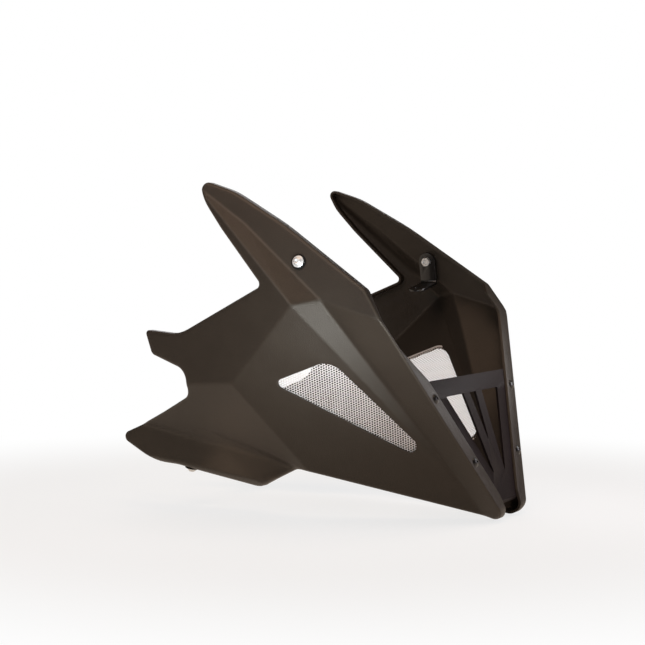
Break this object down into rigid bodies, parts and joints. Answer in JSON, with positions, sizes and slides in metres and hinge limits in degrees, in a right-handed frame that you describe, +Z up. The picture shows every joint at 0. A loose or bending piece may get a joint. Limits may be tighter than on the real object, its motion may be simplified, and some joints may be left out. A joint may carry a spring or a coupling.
{
  "type": "motorcycle belly pan",
  "caption": "Folded black belly pan for a motorcycle: side shells with a long mesh vent each, joined in front by a plate with tapered slots, open at top, rear and bottom.",
  "frame": {"origin": "middle of the part's box at its lowest level, on the bike's centre plane", "axes": "+X is the riding direction, +Y points to the left side of the bike, +Z up"},
  "size_m": [0.4703, 0.408, 0.3804],
  "materials": {
    "shell_plastic": "matte",
    "plate_plastic": "matte",
    "vent_metal": "satin",
    "black_steel": "satin",
    "zinc_steel": "satin",
    "rubber": "matte",
    "bracket_steel": "satin"
  },
  "bodies": {
    "root": {"right_shell": "shell_plastic", "left_shell": "shell_plastic", "front_plate": "plate_plastic", "right_vent_mesh": "vent_metal", "left_vent_mesh": "vent_metal", "plate_screw_right_upper": "black_steel", "plate_screw_right_lower": "black_steel", "plate_screw_left_upper": "black_steel", "plate_screw_left_lower": "black_steel", "plate_washer_right_upper": "black_steel", "plate_washer_right_lower": "black_steel", "plate_washer_left_upper": "black_steel", "plate_washer_left_lower": "black_steel", "plate_nut_right_upper": "black_steel", "plate_nut_right_lower": "black_steel", "plate_nut_left_upper": "black_steel", "plate_nut_left_lower": "black_steel", "arm_screw_right": "zinc_steel", "arm_screw_left": "zinc_steel", "arm_rubber_right": "rubber", "arm_rubber_left": "rubber", "arm_sleeve_right": "zinc_steel", "arm_sleeve_left": "zinc_steel", "arm_nut_right": "zinc_steel", "arm_nut_left": "zinc_steel", "arm_bracket_right": "bracket_steel", "arm_bracket_left": "bracket_steel", "rear_screw_right": "zinc_steel", "rear_screw_left": "zinc_steel", "rear_rubber_right": "rubber", "rear_rubber_left": "rubber", "rear_sleeve_right": "zinc_steel", "rear_sleeve_left": "zinc_steel", "rear_nut_right": "zinc_steel", "rear_nut_left": "zinc_steel", "rear_bracket_right": "bracket_steel", "rear_bracket_left": "bracket_steel"}
  },
  "joints": []
}
